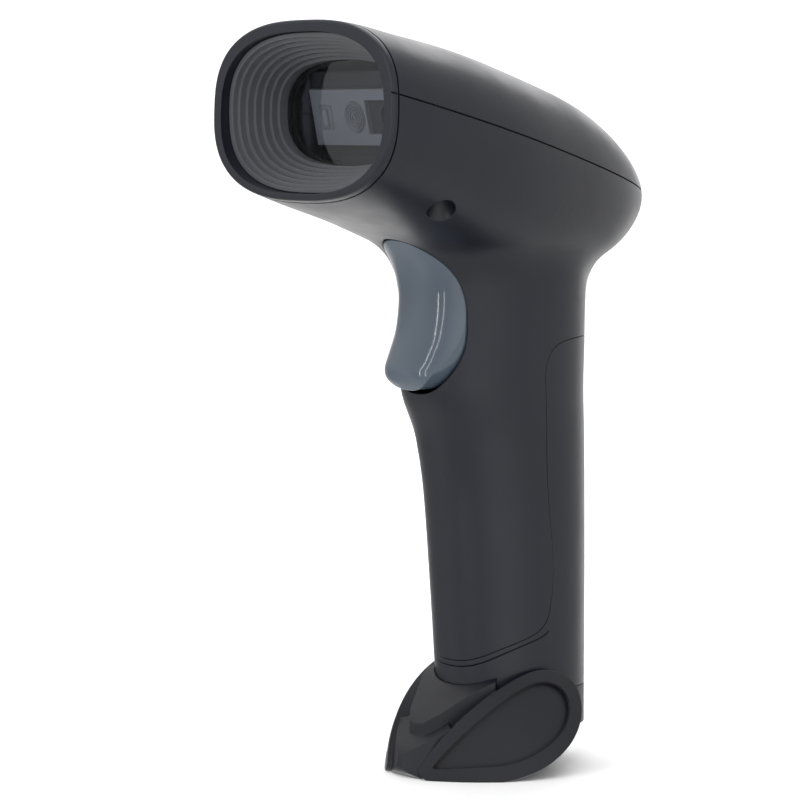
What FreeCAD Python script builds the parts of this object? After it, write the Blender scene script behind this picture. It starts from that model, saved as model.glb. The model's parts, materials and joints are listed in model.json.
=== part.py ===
import FreeCAD, Part
import math
import os

V = FreeCAD.Vector
X_AXIS = V(1, 0, 0)
Y_AXIS = V(0, 1, 0)
Z_AXIS = V(0, 0, 1)

# Handheld barcode scanner, in millimetres. The foot's sole rests on Z = 0, the grip stands along +Z,
# and the scanner reads towards -Y. Every shape is symmetric about X = 0 unless a comment says otherwise.

# Casing
WALL = 2.0
HEAD_TILT = math.radians(13.6)
HEAD_START = V(0, -52.8, 143.3)
HEAD_LENGTH = 91.5
RIM_TILT = 2.0
RIM_REACH = 2.4
NECK_RADIUS = 12.0
SEAM_LINE = 0.35
SEAM_LINE_DEPTH = 0.5
COVER_GAP = 0.15

# Head sections: distance along the head axis, half width, height above and below the seam, squareness
HEAD_SECTIONS = [
    (-8.0, 29.8, 14.1, 21.4, 2.55),
    (6.0, 30.5, 15.5, 21.8, 2.55),
    (20.0, 30.2, 16.3, 23.0, 2.45),
    (34.0, 28.7, 16.2, 25.0, 2.4),
    (48.0, 25.8, 15.6, 26.2, 2.35),
    (60.0, 22.4, 14.7, 25.0, 2.3),
    (71.0, 18.6, 12.5, 21.9, 2.2),
    (80.0, 14.4, 9.3, 17.5, 2.1),
    (86.5, 9.6, 5.9, 11.8, 2.0),
    (90.2, 4.9, 2.7, 6.0, 2.0),
]

# Grip sections: height, half width, front, rear
GRIP_BOTTOM = 17.0
GRIP_SECTIONS = [
    (17.0, 14.0, -14.8, 18.0),
    (40.0, 14.6, -16.4, 17.8),
    (60.0, 15.0, -18.2, 17.6),
    (70.0, 15.2, -20.1, 17.5),
    (76.0, 15.4, -22.2, 17.4),
    (81.5, 15.5, -24.8, 17.4),
    (90.0, 15.8, -24.4, 17.4),
    (104.0, 16.5, -25.2, 17.6),
    (124.0, 19.0, -30.0, 19.6),
]
GRIP_SQUARENESS = 2.3
GRIP_RINGS = 20

# Front opening, light hood and window
OPENING_Z = 139.9
OPENING_HALF_W = 27.3
OPENING_HALF_H = 16.4
OPENING_SQUARENESS = 2.6
LIP_BACK_Y = -49.3
HOOD_FRONT_Y = -53.2
HOOD_STEPS = 6
HOOD_STEP_DEPTH = 1.55
HOOD_STEP_W = 0.71
HOOD_STEP_H = 0.75
HOOD_LIP = 1.3
WINDOW_T = 1.5
WINDOW_Y = -42.0
HOOD_FLANGE_HALF_W = 31.5
HOOD_FLANGE_HALF_H = 17.4
GASKET_W = 1.5
RIBBON_T = 0.3
WINDOW_HALF_W = 22.8
WINDOW_HALF_H = 11.9
HOOD_Z = 139.9
HOOD_HALF_W = 27.15
HOOD_HALF_H = 16.25
# Outside of the hood: depth, half width, half height
HOOD_OUTSIDE = [
    (-53.2, 27.15, 16.25),
    (-48.5, 26.7, 15.9),
    (-44.5, 24.2, 13.5),
    (-40.4, 23.6, 12.9),
]

# Scan engine, tipped down by this angle
ENGINE_TIP = math.radians(12.0)
ENGINE_CENTRE = V(0, -36.6, 139.2)
ENGINE_HALF_W = 18.6
ENGINE_HALF_H = 9.4
BAND_HALF_H = 5.9
AIMER_X = -4.1
AIMER_R = 3.35
CAMERA_X = 5.4
LAMP_X = 13.6

# Trigger and its pivot
TRIGGER_Z = 97.7
TRIGGER_HALF_W = 10.8
TRIGGER_HALF_H = 15.8
TRIGGER_SQUARENESS = 2.4
TRIGGER_WALL = 1.8
TRIGGER_BACK_Y = -13.4
TRIGGER_STROKE = 4.5
TRIGGER_RINGS = 16
OPENING_SIDE_GAP = 0.3
OPENING_BOTTOM_GAP = 0.9
PIVOT_Y = -20.5
PIVOT_Z = 109.4
PIN_R = 1.0
PIN_HALF = 11.4
RUNNING_GAP = 0.04
SWITCH_Z = 101.0
SPRING_Z = 91.0
SWITCH_WALL_Y = -8.6
SWITCH_T = 3.2
PLUNGER_TIP_Y = -14.2
SPRING_FRONT_Y = -16.4
SPRING_BACK_Y = -9.9
TRIGGER_MID_Y = -10.0
FACE_SQUARENESS = 2.8
TRIGGER_FACE_HALF_W = 12.6
# Front line of the trigger: height and depth
TRIGGER_FRONT = [
    (79.0, -23.6),
    (82.0, -27.0),
    (84.7, -28.8),
    (86.3, -28.9),
    (89.4, -27.6),
    (92.7, -26.0),
    (96.0, -25.1),
    (100.1, -24.6),
    (103.2, -24.8),
    (106.3, -25.8),
    (108.9, -27.3),
    (111.5, -29.3),
    (114.5, -32.0),
]

# Screws
SCREW_R = 1.1
HOLE_R = 1.14
NECK_SCREW = V(21.9, -36.2, 0)
NECK_BORE_R = 1.95
NECK_MOUTH_R = 3.0
NECK_MOUTH_Z = 124.0
NECK_BOSS_R = 2.7
NECK_SEAT_Z = 126.0
FOOT_SCREW = V(7.0, -7.0, 0)
FOOT_SEAT_Z = 7.0
COVER_SCREW_Z = 24.6
COVER_SPLIT_Y = 9.6
COVER_SEAT_Y = 13.2
ENGINE_SCREW = V(9.5, -27.5, 0)
ENGINE_SHELF_Z = 129.4

# Battery: one 18 mm cell
CELL_R = 9.2
CELL_Y = 4.0
CELL_BOTTOM = 28.4
CELL_LENGTH = 63.4
CONTACT_SPACE = 1.3

# Main board, parallel to the seam and below it
BOARD_DROP = 2.2
BOARD_FRONT = 31.0
BOARD_BACK = 76.0
BOARD_T = 1.6
BOARD_POSTS = [(13.0, 37.0), (9.0, 70.0)]

# Foot
LOBE_TURN = math.radians(37.0)
LOBE_LEAN = math.radians(14.0)
LOBE_ORIGIN = V(5.0, -28.3, 0)
LOBE_PROUD = 1.0
LOBE_RECESS = 1.0
FOOT_FLOOR = 12.0
FOOT_BOARD_T = 1.6
SOCKET_Y = 1.5
SOCKET_Z = 3.0
# Leaf outline in the lobe's own plane: along the ground line, and up
LEAF = [
    (0.1, 2.3),
    (2.1, 4.9),
    (6.4, 9.9),
    (13.0, 15.7),
    (21.0, 21.2),
    (28.0, 23.2),
    (33.2, 20.9),
    (35.1, 15.0),
    (33.1, 8.4),
    (27.6, 2.9),
    (20.0, -0.3),
    (11.0, -1.2),
    (4.4, -0.9),
    (1.0, 0.3),
]
# The sunken face's outline, in the same plane
SUNKEN_LEAF = [
    (3.2, 2.6),
    (8.2, 8.0),
    (14.3, 13.3),
    (21.6, 18.6),
    (27.6, 20.5),
    (31.1, 18.9),
    (32.4, 14.6),
    (30.6, 10.0),
    (25.9, 5.8),
    (19.5, 3.1),
    (11.3, 2.4),
    (4.6, 2.2),
]
LEAF_MIDDLE = (15.0, 6.0)
LOBE_BALL_R = 40.0
LOBE_BULGE = 3.8
LOBE_T = 4.5
# Front deck, from the nose up to the collar
DECK = [
    (-26.4, 0.0),
    (-28.3, 0.7),
    (-29.5, 2.5),
    (-29.2, 4.3),
    (-26.6, 7.1),
    (-22.8, 10.0),
    (-17.5, 13.9),
    (-9.0, 16.5),
]
# Half the nose's outline in plan, between the tips of the lobes
NOSE = [
    (0.0, -29.8),
    (2.6, -29.2),
    (4.6, -28.0),
    (8.4, -22.0),
    (0.0, -18.0),
]
# Raised tongue round the collar's front: half its outline in plan, and its top from the tip rearwards
TONGUE = [
    (0.0, -25.0),
    (2.2, -24.7),
    (4.8, -22.4),
    (11.6, -12.4),
    (9.5, -10.2),
    (0.0, -10.0),
]
TONGUE_TOP = [
    (-26.4, 9.4),
    (-24.4, 11.4),
    (-21.0, 14.2),
    (-17.2, 17.0),
    (-12.5, 19.9),
    (-8.5, 21.1),
]
# Sole: height, half width, front, rear
SOLE_SECTIONS = [
    (0.0, 12.0, -22.0, 7.0),
    (4.0, 13.4, -20.0, 12.5),
    (8.5, 13.9, -15.5, 17.3),
]

HEAD_AXIS = V(0, math.cos(HEAD_TILT), -math.sin(HEAD_TILT))
HEAD_UP = V(0, math.sin(HEAD_TILT), math.cos(HEAD_TILT))


# ---- Helpers ----

def superellipse_wire(centre, across, up, half_w, half_h, squareness, count=28):
    points = []
    for i in range(count):
        turn = math.pi / 2 + 2 * math.pi * i / count
        c = math.cos(turn)
        s = math.sin(turn)
        x = half_w * math.copysign(abs(c) ** (2 / squareness), c)
        y = half_h * math.copysign(abs(s) ** (2 / squareness), s)
        points.append(centre + across * x + up * y)
    curve = Part.BSplineCurve()
    curve.interpolate(points, PeriodicFlag=True)
    return Part.Wire([curve.toShape()])


def superellipse_prism(half_w, half_h, squareness, z, y_front, y_back):
    """A bar along Y with a rounded-rectangle section."""
    wire = superellipse_wire(V(0, y_front, z), X_AXIS, Z_AXIS, half_w, half_h, squareness, 36)
    return Part.Face(wire).extrude(V(0, y_back - y_front, 0))


def box(x0, x1, y0, y1, z0, z1):
    return Part.makeBox(x1 - x0, y1 - y0, z1 - z0, V(x0, y0, z0))


def cylinder(radius, start, end):
    span = end - start
    return Part.makeCylinder(radius, span.Length, start, span)


def mirrored(shape):
    return shape.mirror(V(0, 0, 0), X_AXIS)


def both_sides(shape):
    return [shape, mirrored(shape)]


def joined(shape, additions):
    for addition in additions:
        shape = shape.fuse(addition)
    return shape


def cut_away(shape, cuts):
    for cut in cuts:
        shape = shape.cut(cut)
    return shape


def side_profile(points, half_w):
    """A prism along X from a closed outline in Y and Z."""
    corners = [V(-half_w, y, z) for y, z in points]
    return Part.Face(Part.makePolygon(corners + corners[:1])).extrude(V(2 * half_w, 0, 0))


def smooth_side_profile(curve_points, corner_points, half_w):
    """The same, with a smooth curve through the first points and straight sides through the rest."""
    curve = Part.BSplineCurve()
    curve.interpolate([V(-half_w, y, z) for y, z in curve_points])
    corners = [V(-half_w, y, z) for y, z in [curve_points[-1]] + corner_points + [curve_points[0]]]
    wire = Part.Wire([curve.toShape()] + Part.makePolygon(corners).Edges)
    return Part.Face(wire).extrude(V(2 * half_w, 0, 0))


def wire_tube(points, radius):
    """A round lead along a smooth curve."""
    curve = Part.BSplineCurve()
    curve.interpolate(points)
    path = Part.Wire([curve.toShape()])
    start = curve.value(curve.FirstParameter)
    tangent = curve.tangent(curve.FirstParameter)[0]
    profile = Part.Wire([Part.Circle(start, tangent, radius).toShape()])
    return path.makePipeShell([profile], True, False)


def seam_point(along, lift=0.0, x=0.0):
    """A point by its distance along the head axis and its height over the seam plane."""
    return HEAD_START + HEAD_AXIS * along + HEAD_UP * lift + V(x, 0, 0)


def screw(head_at, direction, length, head_r, head_h=1.4):
    """A pan-head screw with its shank's start at head_at."""
    shank = cylinder(SCREW_R, head_at, head_at + direction * length)
    head = cylinder(head_r, head_at - direction * head_h, head_at)
    slot = cylinder(SCREW_R * 0.7, head_at - direction * head_h, head_at - direction * (head_h * 0.4))
    return shank.fuse(head).cut(slot)


def save(name, shapes):
    if not isinstance(shapes, list):
        shapes = [shapes]
    solids = []
    for shape in shapes:
        solids.extend(shape.Solids)
    Part.makeCompound(solids).exportStep(os.path.join("parts", name + ".step"))


def slope(rows, i, column):
    before = rows[max(i - 1, 0)]
    after = rows[min(i + 1, len(rows) - 1)]
    return (after[column] - before[column]) / (after[0] - before[0])


def section_at(rows, at):
    """A section between a table's rows, on smooth curves through them."""
    i = max(j for j in range(len(rows) - 1) if rows[j][0] <= at)
    low = rows[i]
    high = rows[i + 1]
    span = high[0] - low[0]
    t = (at - low[0]) / span
    values = []
    for column in range(1, len(low)):
        value = low[column] * (1 - t) ** 2 * (1 + 2 * t) + high[column] * t ** 2 * (3 - 2 * t)
        value += slope(rows, i, column) * span * t * (1 - t) ** 2
        value -= slope(rows, i + 1, column) * span * t ** 2 * (1 - t)
        values.append(value)
    return values


# ---- Outer form ----

def head_form(inset):
    stretch = (HEAD_LENGTH - inset) / HEAD_LENGTH
    rings = []
    for along, half_w, above, below, squareness in HEAD_SECTIONS:
        above -= inset
        below -= inset
        centre = seam_point(along * stretch, (above - below) / 2)
        half_h = (above + below) / 2
        rings.append(superellipse_wire(centre, X_AXIS, HEAD_UP, half_w - inset, half_h, squareness))
    tip = Part.Vertex(seam_point(HEAD_LENGTH - inset))
    return Part.makeLoft(rings + [tip], True, False)


def grip_form(inset):
    bottom = GRIP_SECTIONS[0][0]
    top = GRIP_SECTIONS[-1][0]
    rings = []
    for step in range(GRIP_RINGS):
        z = bottom + (top - bottom) * step / (GRIP_RINGS - 1)
        half_w, front, rear = section_at(GRIP_SECTIONS, z)
        centre = V(0, (front + rear) / 2, z)
        half_d = (rear - front) / 2 - inset
        rings.append(superellipse_wire(centre, X_AXIS, Y_AXIS, half_w - inset, half_d, GRIP_SQUARENESS, 24))
    return Part.makeLoft(rings, True, False)


def body_form(inset):
    """Head and grip as one solid, blended at the neck."""
    body = head_form(inset).fuse(grip_form(inset)).Solids[0]
    neck = []
    for edge in body.Edges:
        reach = edge.BoundBox
        if reach.XLength > 10 and reach.ZMin > 90 and reach.ZMax < 135 and reach.YMin > -48:
            neck.append(edge)
    return body.makeFillet(NECK_RADIUS + inset, neck)


def rim_slab(depth, thickness):
    """A slab parallel to the rim, from depth behind it."""
    slab = Part.makeBox(120, thickness, 120, V(-60, depth, -60))
    slab.rotate(V(0, 0, 0), X_AXIS, -RIM_TILT)
    slab.translate(HEAD_START - V(0, RIM_REACH, 0))
    return slab


def seam_slab(lift, thickness):
    """A slab parallel to the seam plane, from lift above it."""
    slab = Part.makeBox(120, 160, thickness, V(-60, -40, lift))
    slab.rotate(V(0, 0, 0), X_AXIS, -math.degrees(HEAD_TILT))
    slab.translate(HEAD_START)
    return slab


def outer_body():
    body = body_form(0).cut(rim_slab(-60, 60))
    rim = [e for e in body.Edges if e.BoundBox.XLength > 50 and e.BoundBox.YMax < -50]
    return body.makeFillet(0.7, rim)


def hollow_body():
    return body_form(WALL).cut(box(-60, 60, -80, LIP_BACK_Y, 60, 200))


def front_opening():
    back = LIP_BACK_Y + 0.5
    return superellipse_prism(OPENING_HALF_W, OPENING_HALF_H, OPENING_SQUARENESS, OPENING_Z, -70, back)


def trigger_opening():
    low = TRIGGER_Z - TRIGGER_HALF_H - OPENING_BOTTOM_GAP
    high = TRIGGER_Z + TRIGGER_HALF_H + OPENING_SIDE_GAP
    half_h = (high - low) / 2
    half_w = TRIGGER_HALF_W + OPENING_SIDE_GAP
    centre = (high + low) / 2
    return superellipse_prism(half_w, half_h, TRIGGER_SQUARENESS, centre, -60, -9)


# ---- Casing ----

def cover_region(grow):
    """Side outline of the rear grip cover, with its collar round the grip's lower end."""
    top = 92.3 + grow
    front = -2.0 - grow
    outline = [
        (-22.0, 21.6 + grow),
        (-16.0, 23.0 + grow),
        (-11.0, 26.3 + grow),
        (-4.0, 29.3 + grow),
        (-1.0 - grow, 31.4 + grow),
        (0.6 - grow, 36.0),
        (-0.8 - grow, 60.0),
        (front, 82.0),
        (front + 0.2, 87.4),
        (front + 2.4, 90.6 + grow / 2),
        (front + 6.5, top - 0.4),
        (front + 14.0, top),
        (30.0, top + 0.6),
    ]
    return smooth_side_profile(outline, [(30.0, 10.0), (-22.0, 10.0)], 30)


def upper_side(lift=0.0):
    return seam_slab(lift, 80)


def lower_side(drop=0.0):
    return seam_slab(-160, 160 - drop)


def seam_and_rim_lines():
    """The fine lines along the seam and just behind the rim."""
    inside = body_form(SEAM_LINE_DEPTH)
    return [seam_slab(-SEAM_LINE / 2, SEAM_LINE).cut(inside), rim_slab(1.3, 0.4).cut(inside)]


def casing():
    return outer_body().cut(hollow_body()).cut(front_opening())


def neck_boss(skin):
    """The post round each neck screw, stouter where the bore's wide mouth enters."""
    post = cylinder(NECK_BOSS_R, NECK_SCREW + V(0, 0, 100), NECK_SCREW + V(0, 0, 170))
    base = cylinder(NECK_MOUTH_R + 0.8, NECK_SCREW + V(0, 0, 100), NECK_SCREW + V(0, 0, NECK_MOUTH_Z + 1.5))
    return [side.common(skin) for side in both_sides(post.fuse(base))]


def neck_bore():
    seat = NECK_SCREW + V(0, 0, NECK_SEAT_Z)
    wide = cylinder(NECK_BORE_R, NECK_SCREW + V(0, 0, 100), seat)
    mouth = cylinder(NECK_MOUTH_R, NECK_SCREW + V(0, 0, 100), NECK_SCREW + V(0, 0, NECK_MOUTH_Z))
    narrow = cylinder(HOLE_R, seat, seat + V(0, 0, 22))
    return both_sides(wide.fuse(mouth).fuse(narrow))


def board_corner(x, along):
    """Where a board post meets the main board's upper face."""
    return seam_point(along, -BOARD_DROP, x)


def top_cover(shell, skin, lines):
    cover = cut_away(shell.common(upper_side()).Solids[0], lines)
    additions = [boss.common(upper_side(0.02)) for boss in neck_boss(skin)]
    cuts = neck_bore()
    for x, along in BOARD_POSTS:
        low = board_corner(x, along)
        additions.extend(both_sides(cylinder(2.6, low, low + HEAD_UP * 30).common(skin)))
        cuts.extend(both_sides(cylinder(HOLE_R, low, low + HEAD_UP * 7)))
    return cut_away(joined(cover, additions), cuts)


def trigger_ears(skin):
    """Cheeks beside the trigger that hold its pin."""
    cheek = box(8.0, 16.0, PIVOT_Y - 3.2, PIVOT_Y + 4.5, PIVOT_Z - 4.0, PIVOT_Z + 4.2)
    return [side.common(skin) for side in both_sides(cheek)]


def battery_ribs(skin):
    """Half-round saddles for the cell, and a wall past each end of it for the contacts."""
    cell = cylinder(CELL_R + 0.1, V(0, CELL_Y, 20), V(0, CELL_Y, 100))
    ribs = [box(-20, 20, -24, -2.4, z, z + 1.6).cut(cell) for z in (38.0, 72.0)]
    top = CELL_BOTTOM + CELL_LENGTH + CONTACT_SPACE
    ribs.append(box(-20, 20, SWITCH_WALL_Y + 0.4, 6.0, top, top + 1.6))
    return [rib.common(skin) for rib in ribs]


def switch_wall(skin):
    """The cross wall behind the trigger that carries the switch board and the spring."""
    return box(-20, 20, SWITCH_WALL_Y, SWITCH_WALL_Y + 1.6, 84.0, 107.0).common(skin)


def foot_posts(skin):
    """Posts for the foot screws, tied to the grip's front wall above the collar."""
    post = cylinder(2.5, FOOT_SCREW + V(0, 0, FOOT_FLOOR + FOOT_BOARD_T), FOOT_SCREW + V(0, 0, 36))
    tie = box(FOOT_SCREW.x - 0.8, FOOT_SCREW.x + 0.8, -20, FOOT_SCREW.y, 27.5, 36).common(skin)
    return both_sides(post.fuse(tie))


def cover_post(skin):
    """A long post below the cell that takes the cover's screw, hung from the front wall by a rib."""
    post = cylinder(2.2, V(0, -12.8, COVER_SCREW_Z), V(0, COVER_SPLIT_Y, COVER_SCREW_Z))
    rib = box(-0.8, 0.8, -20, -6, COVER_SCREW_Z + 1.6, COVER_SCREW_Z + 10).common(skin)
    return post.fuse(rib)


def engine_posts(skin):
    post = cylinder(2.4, ENGINE_SCREW + V(0, 0, 90), ENGINE_SCREW + V(0, 0, ENGINE_SHELF_Z))
    return [side.common(skin) for side in both_sides(post)]


def main_housing(shell, skin, lines):
    housing = shell.common(lower_side()).Solids[0].cut(cover_region(COVER_GAP))
    housing = cut_away(housing, lines)
    additions = [boss.common(lower_side(0.02)) for boss in neck_boss(skin)]
    additions += trigger_ears(skin)
    additions += battery_ribs(skin)
    additions += [switch_wall(skin), cover_post(skin)]
    additions += foot_posts(skin)
    additions += engine_posts(skin)
    cuts = neck_bore()
    cuts.append(trigger_opening())
    cuts.append(cylinder(PIN_R + 0.01, V(-PIN_HALF, PIVOT_Y, PIVOT_Z), V(PIN_HALF, PIVOT_Y, PIVOT_Z)))
    cuts.append(cylinder(HOLE_R, V(0, 0, COVER_SCREW_Z), V(0, 12, COVER_SCREW_Z)))
    cuts += both_sides(cylinder(HOLE_R, FOOT_SCREW, FOOT_SCREW + V(0, 0, 24)))
    engine_hole = ENGINE_SCREW + V(0, 0, ENGINE_SHELF_Z)
    cuts += both_sides(cylinder(HOLE_R, engine_hole - V(0, 0, 7), engine_hole))
    return cut_away(joined(housing, additions), cuts)


def collar_line(inside):
    """A shallow line round the collar's front, just below the cover's edge."""
    front = box(-40, 40, -40, 0, 0, 60)
    return cover_region(-1.1).common(front).cut(cover_region(-1.35)).cut(inside)


def rear_grip_cover(shell, skin):
    cover = shell.common(cover_region(0)).common(box(-40, 40, -40, 40, GRIP_BOTTOM, 100))
    boss = cylinder(3.2, V(0, COVER_SPLIT_Y + 0.05, COVER_SCREW_Z), V(0, 22, COVER_SCREW_Z)).common(skin)
    tongue = box(-5, 5, 13.4, 14.4, 86, 96)
    tie = box(-5, 5, 13.4, 17.0, 86, 90).common(skin)
    cover = joined(cover, [boss, tie, tongue])
    hole = cylinder(HOLE_R, V(0, 5, COVER_SCREW_Z), V(0, 14, COVER_SCREW_Z))
    recess = cylinder(2.5, V(0, COVER_SEAT_Y, COVER_SCREW_Z), V(0, 24, COVER_SCREW_Z))
    return cut_away(cover, [hole, recess, collar_line(body_form(0.35))])


# ---- Foot ----

def lobe_frame():
    lean = math.cos(LOBE_LEAN)
    normal = V(math.cos(LOBE_TURN) * lean, -math.sin(LOBE_TURN) * lean, math.sin(LOBE_LEAN))
    along = Z_AXIS.cross(normal).normalize()
    return normal, along, normal.cross(along)


def leaf_wire(leaf, lift):
    """A leaf outline in the lobe's plane, lifted outwards: pointed at the nose, round at the rear."""
    normal, along, up = lobe_frame()
    base = LOBE_ORIGIN + normal * lift
    curve = Part.BSplineCurve()
    curve.interpolate([base + along * a + up * b for a, b in leaf], PeriodicFlag=True)
    return Part.Wire([curve.toShape()])


def lobe_ball(inset):
    """The ball whose surface gives the lobe's outer face its bulge."""
    normal, along, up = lobe_frame()
    middle = LOBE_ORIGIN + along * LEAF_MIDDLE[0] + up * LEAF_MIDDLE[1]
    return Part.makeSphere(LOBE_BALL_R - inset, middle - normal * (LOBE_BALL_R - LOBE_BULGE))


def leaf_prism(leaf):
    normal = lobe_frame()[0]
    return Part.Face(leaf_wire(leaf, -20)).extrude(normal * 30)


def lobe():
    """One side lobe: a thick bulging leaf with a raised rim round a sunken face."""
    plate = leaf_prism(LEAF).common(lobe_ball(0)).cut(lobe_ball(LOBE_T))
    return plate.cut(leaf_prism(SUNKEN_LEAF).cut(lobe_ball(LOBE_RECESS)))


def plan_prism(half):
    """A prism along Z from half an outline in X and Y, the other half mirrored."""
    right = [V(x, y, 0) for x, y in half]
    left = [V(-x, y, 0) for x, y in reversed(half[1:-1])]
    return Part.Face(Part.makePolygon(right + left + right[:1])).extrude(V(0, 0, 30))


def deck_block():
    """The wedge between the lobes, with the sloping front deck and the nose."""
    block = smooth_side_profile(DECK, [(8.0, 16.4), (8.0, 8.0), (3.0, 0.0)], 30)
    normal = lobe_frame()[0]
    ball = lobe_ball(LOBE_PROUD)
    block = block.common(ball).common(mirrored(ball))
    side = Part.Face(leaf_wire(LEAF, 10)).extrude(normal * -70)
    return block.common(side).common(mirrored(side)).fuse(block.common(plan_prism(NOSE)))


def deck_tongue():
    """The raised tongue that cups the collar's front, standing a step above the deck."""
    body = smooth_side_profile(TONGUE_TOP, [(-8.5, 8.0), (-24.0, 4.0)], 30)
    return body.common(plan_prism(TONGUE))


def foot():
    rings = []
    for z, half_w, front, rear in SOLE_SECTIONS:
        centre = V(0, (front + rear) / 2, z)
        half_d = (rear - front) / 2
        rings.append(superellipse_wire(centre, X_AXIS, Y_AXIS, half_w, half_d, GRIP_SQUARENESS, 24))
    heel = Part.makeLoft(rings, True, True)
    collar_wire = superellipse_wire(V(0, 1.6, 8.5), X_AXIS, Y_AXIS, 14.0, 16.4, GRIP_SQUARENESS, 24)
    collar = Part.Face(collar_wire).extrude(V(0, 0, GRIP_BOTTOM - COVER_GAP - 8.5))
    body = joined(heel, [collar, deck_block()])
    body = body.fuse(deck_tongue())
    body = joined(body, both_sides(lobe()))
    body = body.common(box(-40, 40, -60, 40, 0, 40)).cut(grip_form(-COVER_GAP))
    pocket_wire = superellipse_wire(V(0, 1.6, FOOT_FLOOR), X_AXIS, Y_AXIS, 11.9, 14.3, GRIP_SQUARENESS, 24)
    cuts = [Part.Face(pocket_wire).extrude(V(0, 0, 10))]
    cuts += both_sides(cylinder(2.4, FOOT_SCREW, FOOT_SCREW + V(0, 0, FOOT_SEAT_Z)))
    cuts += both_sides(cylinder(HOLE_R, FOOT_SCREW, FOOT_SCREW + V(0, 0, 20)))
    cuts.append(box(-6.4, 6.4, SOCKET_Y - 3.6, SOCKET_Y + 3.6, -1, SOCKET_Z))
    cuts.append(box(-4.7, 4.7, SOCKET_Y - 1.85, SOCKET_Y + 1.85, -1, 20))
    return cut_away(body, cuts)


def foot_screws():
    return both_sides(screw(FOOT_SCREW + V(0, 0, FOOT_SEAT_Z), Z_AXIS, 14.0, 2.2))


def charging_board():
    outline = superellipse_wire(V(0, 1.6, FOOT_FLOOR), X_AXIS, Y_AXIS, 11.7, 14.1, GRIP_SQUARENESS, 24)
    board = Part.Face(outline).extrude(V(0, 0, FOOT_BOARD_T))
    holes = both_sides(cylinder(HOLE_R, FOOT_SCREW, FOOT_SCREW + V(0, 0, 20)))
    return cut_away(board, holes)


def charging_socket():
    shell = box(-4.5, 4.5, SOCKET_Y - 1.65, SOCKET_Y + 1.65, SOCKET_Z + 0.1, FOOT_FLOOR)
    shell = shell.makeFillet(1.5, [e for e in shell.Edges if abs(e.tangentAt(0).z) > 0.99])
    mouth = box(-4.15, 4.15, SOCKET_Y - 1.3, SOCKET_Y + 1.3, SOCKET_Z, FOOT_FLOOR - 1.5)
    mouth = mouth.makeFillet(1.2, [e for e in mouth.Edges if abs(e.tangentAt(0).z) > 0.99])
    tongue = box(-3.2, 3.2, SOCKET_Y - 0.35, SOCKET_Y + 0.35, SOCKET_Z + 1, FOOT_FLOOR - 1)
    return shell.cut(mouth).fuse(tongue)


# ---- Front end ----

def hood_prism(half_w, half_h, y_front, y_back):
    return superellipse_prism(half_w, half_h, OPENING_SQUARENESS, HOOD_Z, y_front, y_back)


def window_prism(margin, y_front, y_back):
    return hood_prism(WINDOW_HALF_W + margin, WINDOW_HALF_H + margin, y_front, y_back)


def hood_pocket(step):
    """One step of the funnel, cut back from the front."""
    half_w = HOOD_HALF_W - HOOD_LIP - step * HOOD_STEP_W
    half_h = HOOD_HALF_H - HOOD_LIP * 0.7 - step * HOOD_STEP_H
    back = HOOD_FRONT_Y + HOOD_LIP + step * HOOD_STEP_DEPTH
    return hood_prism(half_w, half_h, HOOD_FRONT_Y - 1, back)


def light_hood():
    rings = []
    for y, half_w, half_h in HOOD_OUTSIDE:
        centre = V(0, y, HOOD_Z)
        rings.append(superellipse_wire(centre, X_AXIS, Z_AXIS, half_w, half_h, OPENING_SQUARENESS, 36))
    body = Part.makeLoft(rings, True, True)
    flange = hood_prism(HOOD_FLANGE_HALF_W, HOOD_FLANGE_HALF_H, LIP_BACK_Y + 0.05, LIP_BACK_Y + 1.0)
    body = body.fuse(flange.common(head_form(WALL + 0.1)))
    pockets = hood_pocket(0)
    for step in range(1, HOOD_STEPS + 1):
        pockets = pockets.fuse(hood_pocket(step))
    back_step = hood_pocket(HOOD_STEPS)
    half_w = back_step.BoundBox.XLength / 2
    half_h = back_step.BoundBox.ZLength / 2
    mouth = hood_prism(half_w, half_h, -50, -30)
    seat = window_prism(0.05, WINDOW_Y, -30)
    return cut_away(body, [pockets, mouth, seat])


def scan_window():
    return window_prism(0, WINDOW_Y, WINDOW_Y + WINDOW_T)


def window_gasket():
    back = WINDOW_Y + WINDOW_T
    return window_prism(0, back, back + 0.5).cut(window_prism(-GASKET_W, back - 1, back + 2))


# ---- Scan engine ----

def tipped(shape):
    """Takes a shape drawn about the engine's centre, facing -Y, to its tipped place."""
    shape.rotate(V(0, 0, 0), X_AXIS, math.degrees(ENGINE_TIP))
    shape.translate(ENGINE_CENTRE)
    return shape


def engine_bar(x0, x1, y0, y1, z0, z1):
    return tipped(box(x0, x1, y0, y1, z0, z1))


def engine_rod(radius, x, y0, y1, z=0.0):
    return tipped(cylinder(radius, V(x, y0, z), V(x, y1, z)))


def engine_bracket():
    """Dark plate behind the window, with a shelf that screws down to two posts."""
    plate = engine_bar(-ENGINE_HALF_W, ENGINE_HALF_W, 0, 1.5, -ENGINE_HALF_H, ENGINE_HALF_H)
    shelf = box(-12.5, 12.5, -35.0, -24.5, ENGINE_SHELF_Z, ENGINE_SHELF_Z + 1.5)
    cuts = [engine_rod(3.0, CAMERA_X, -2, 4)]
    cuts += both_sides(cylinder(HOLE_R, ENGINE_SCREW + V(0, 0, 120), ENGINE_SCREW + V(0, 0, 135)))
    return cut_away(plate.fuse(shelf), cuts)


def engine_front():
    """Grey band with the lamp windows, the aimer hole and the camera recess."""
    band = engine_bar(-18.2, 18.2, -1.2, 0, -BAND_HALF_H, BAND_HALF_H)
    cuts = [engine_rod(AIMER_R + 0.03, AIMER_X, -2, 1)]
    cuts.append(engine_bar(-0.2, 11.0, -2, 1, -3.6, 3.6))
    for x in (-LAMP_X, LAMP_X):
        cuts.append(engine_bar(x - 2.03, x + 2.03, -2, 1, -2.63, 2.63))
    return cut_away(band, cuts)


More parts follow.
